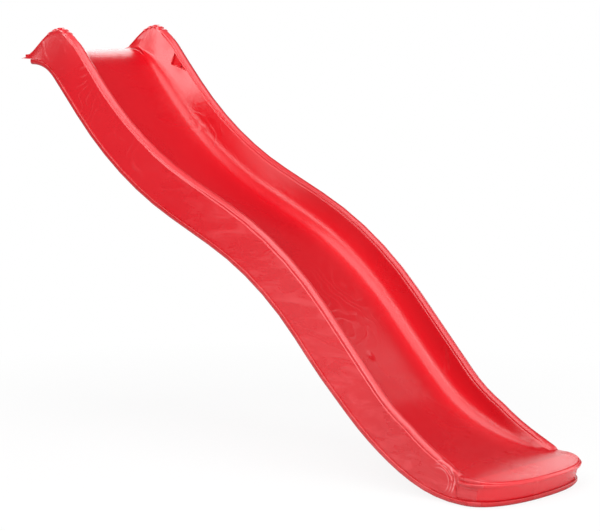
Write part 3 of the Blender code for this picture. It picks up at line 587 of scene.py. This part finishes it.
def black_rubber():
    """Matt rubber for the washer."""
    finish = Finish("black_rubber")
    dust = finish.noise(finish.place(), scale=160.0, detail=3.0, rough=0.6)
    finish.set(
        Base_Color=finish.blend(dust, *RUBBER_BLACKS),
        Roughness=finish.between(dust, *CLOUDS, *RUBBER_ROUGHNESS),
        Normal=finish.bump(dust, RUBBER_DEEP, 0.6),
    )
    return finish.material


# The pieces

# What counts as level and as facing upwards, where edges and faces are picked
LEVEL_CLOSE = 0.0005
UPWARD = 0.5
# The rails' flat tops: their width and how exact it is, how far their middle rises, and
# where the rise starts and ends along the slide
RAIL_FLAT = 0.014
RAIL_CLOSE = 0.0008
RAIL_CROWN = 0.0024
RAIL_CUT_FROM = 0.11
CROWN_START, CROWN_RUN_IN = 0.15, 0.05
CROWN_END, CROWN_RUN_OUT = 1.85, 0.08
# The small slope at a ledge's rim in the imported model, and how far each of its edges moves outwards
SLOPE_LENGTH = (0.0016, 0.0030)
SLOPE_WIDTH = (0.0005, 0.0012)
SLOPE_DROP = 0.0012
LEDGES_FROM = 0.185
LEDGE_WIDTH = (0.0022, 0.0045)
LEDGE_REACH = 0.005
LEDGE_LIP_TOP = 0.0016
LEDGE_LIP_FOOT = 0.0021
PANEL_LENGTH = 0.012
PANEL_DROP = 0.01
PANEL_LEAN = 0.06
BESIDE_INLET = (0.2, 0.36)
# The run-out plate's upper edge
PLATE_TOP = GROUND + 0.075
PLATE_FROM = 1.84
PLATE_EDGE_DROP = 0.00125
PLATE_CLOSE = 0.0003
PLATE_EDGE_RISE = 0.0002
PLATE_EDGE_BACK = 0.0042
PLATE_EDGE_UNDER = 0.0016
# The band's upper edge
BAND_ROUND = 0.0022
BAND_SEGMENTS = 3
BAND_SHARP = math.radians(55)
BAND_EDGE = 0.01
BAND_LEAN = 0.6

# How the copied skins are merged, made quads and smoothed
MERGE_CLOSE = 0.00002
QUAD_ANGLE = math.radians(60)
SMOOTH_ANGLE = math.radians(62)
NORMAL_WEIGHT = 60


def within(value, band):
    """Whether a number lies inside a band."""
    low, high = band
    return low < value < high


def merged_copy(node, name):
    """The CAD node's shape as one closed mesh of quads, ready to be smoothed."""
    bpy.ops.object.select_all(action="DESELECT")
    mesh = CAD_NODES[node].data.copy()
    mesh.name = name
    mesh.materials.clear()
    piece = bpy.data.objects.new(name, mesh)
    bpy.context.scene.collection.objects.link(piece)
    bpy.context.view_layer.objects.active = piece
    piece.select_set(True)
    if mesh.has_custom_normals:
        bpy.ops.mesh.customdata_custom_splitnormals_clear()
    bpy.ops.object.mode_set(mode="EDIT")
    bpy.ops.mesh.select_all(action="SELECT")
    bpy.ops.mesh.remove_doubles(threshold=MERGE_CLOSE)
    bpy.ops.mesh.normals_make_consistent(inside=False)
    bpy.ops.mesh.tris_convert_to_quads(face_threshold=QUAD_ANGLE, shape_threshold=QUAD_ANGLE)
    bpy.ops.object.mode_set(mode="OBJECT")
    return piece


def rail_section(point):
    """How far along the slide a point is, to the millimetre, and on which side."""
    return round(point.co.x, 3), point.co.y > 0


def crown_rails(mesh):
    """Rounds the rails' flat tops: each is cut lengthwise in four and its middle rises a little."""
    across = []
    tops = {}
    for edge in mesh.edges:
        first, second = edge.verts
        step = first.co - second.co
        wide = abs(abs(step.y) - RAIL_FLAT) < RAIL_CLOSE
        level = abs(step.x) < LEVEL_CLOSE and abs(step.z) < LEVEL_CLOSE
        upward = first.normal.z > UPWARD and second.normal.z > UPWARD
        on_rail = abs(first.co.y) > RAIL[0] and first.co.x > RAIL_CUT_FROM
        if wide and level and upward and on_rail:
            across.append(edge)
            normal = first.normal + second.normal
            rise = Vector((normal.x, 0, normal.z)).normalized()
            tops[rail_section(first)] = ((first.co.y + second.co.y) / 2, rise)
    cut = bmesh.ops.subdivide_edges(mesh, edges=across, cuts=3, use_grid_fill=False)
    for point in cut["geom_inner"]:
        if not isinstance(point, bmesh.types.BMVert) or rail_section(point) not in tops:
            continue
        middle, rise = tops[rail_section(point)]
        share = (point.co.y - middle) / (RAIL_FLAT / 2)
        run_in = max(0.0, (point.co.x - CROWN_START) / CROWN_RUN_IN)
        run_out = max(0.0, (CROWN_END - point.co.x) / CROWN_RUN_OUT)
        point.co += rise * RAIL_CROWN * (1 - share * share) * min(1.0, run_out, run_in)


def ways_from(point):
    """The ways along its edges from a point to its neighbours."""
    return [edge.other_vert(point).co - point.co for edge in point.link_edges]


def soften_ledges(mesh):
    """Widens the small slope on the edge of each ledge under the rails, so that it catches light."""
    moves = {}
    for edge in mesh.edges:
        first, second = sorted(edge.verts, key=lambda point: -point.co.z)
        step = second.co - first.co
        if not within(step.length, SLOPE_LENGTH) or abs(first.co.y) < LEDGES_FROM:
            continue
        if not within(abs(step.y), SLOPE_WIDTH) or step.z > -SLOPE_DROP:
            continue
        if first.co.y > 0 and within(first.co.x, BESIDE_INLET):
            continue
        outward = math.copysign(1, step.y)
        inner = [
            way for way in ways_from(first)
            if within(way.y * -outward, LEDGE_WIDTH) and way.length < LEDGE_REACH
        ]
        down = [
            way for way in ways_from(second)
            if way.length > PANEL_LENGTH and way.z < -PANEL_DROP and abs(way.x) < PANEL_LEAN
        ]
        if inner and down:
            moves[first] = inner[0].normalized() * LEDGE_LIP_TOP
            moves[second] = down[0].normalized() * LEDGE_LIP_FOOT
    for point, move in moves.items():
        point.co += move


def soften_nose(mesh):
    """Rounds the run-out plate's upper edge, inside its own outline."""
    moves = {}
    for edge in mesh.edges:
        first, second = sorted(edge.verts, key=lambda point: -point.co.z)
        on_top = abs(first.co.z - PLATE_TOP) < PLATE_CLOSE and first.co.x > PLATE_FROM
        drop = first.co.z - second.co.z
        if not on_top or abs(drop - PLATE_EDGE_DROP) > PLATE_CLOSE:
            continue
        outward = second.co - first.co
        outward.z = 0
        if outward.length < LEVEL_CLOSE:
            continue
        outward.normalize()
        moves[first] = Vector((0, 0, PLATE_EDGE_RISE)) - outward * PLATE_EDGE_BACK
        moves[second] = outward * -PLATE_EDGE_UNDER
    for point, move in moves.items():
        point.co += move


def soften_band(mesh):
    """Rounds the band's upper edge, which shows as a light line along the parting line."""
    sharp = []
    for edge in mesh.edges:
        if len(edge.link_faces) != 2 or not edge.is_convex:
            continue
        if edge.calc_face_angle() < BAND_SHARP or edge.calc_length() < BAND_EDGE:
            continue
        upper, lower = sorted(edge.link_faces, key=lambda face: -face.normal.z)
        if upper.normal.z > UPWARD and abs(lower.normal.z) < BAND_LEAN:
            sharp.append(edge)
    bmesh.ops.bevel(
        mesh, geom=sharp, offset=BAND_ROUND, offset_type="OFFSET", segments=BAND_SEGMENTS,
        profile=0.5, affect="EDGES", clamp_overlap=True,
    )


def smooth_shading(piece):
    """Smooth faces whose normals follow the large ones, so that rounded edges carry the turn."""
    bpy.ops.object.select_all(action="DESELECT")
    piece.select_set(True)
    bpy.context.view_layer.objects.active = piece
    bpy.ops.object.shade_smooth_by_angle(angle=SMOOTH_ANGLE)
    weighted = piece.modifiers.new("weighted_normals", "WEIGHTED_NORMAL")
    weighted.mode = "FACE_AREA"
    weighted.weight = NORMAL_WEIGHT
    weighted.keep_sharp = True
    bpy.ops.object.modifier_apply(modifier=weighted.name)


def make_skins():
    """The sliding skin and the skin under it, with the edges a mould leaves."""
    made = []
    for node, name in (("upper_shell", "sliding_skin"), ("under_shell", "lower_skin")):
        piece = merged_copy(node, name)
        mesh = bmesh.new()
        mesh.from_mesh(piece.data)
        mesh.normal_update()
        if node == "upper_shell":
            crown_rails(mesh)
            soften_ledges(mesh)
            soften_nose(mesh)
        else:
            soften_band(mesh)
        mesh.to_mesh(piece.data)
        mesh.free()
        smooth_shading(piece)
        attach(piece, "root")
        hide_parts(node)
        made.append(piece)
    return made


def main():
    set_up_camera()
    set_up_light()
    make_floor()
    upper, under = make_skins()
    bright = red_plastic("bright_red_plastic", *BRIGHT_REDS)
    # A darker copy of the same plastic for the skin under the slide and the inlet socket: painted shade
    dark = red_plastic("dark_red_plastic", *SHADED_UNDER_REDS)
    upper.data.materials.append(bright)
    under.data.materials.append(dark)
    for node, finish in (("water_inlet_socket", dark), ("inlet_seal", black_rubber())):
        for slot in CAD_NODES[node].material_slots:
            slot.material = finish


main()
bpy.context.scene.view_settings.view_transform = "Standard"
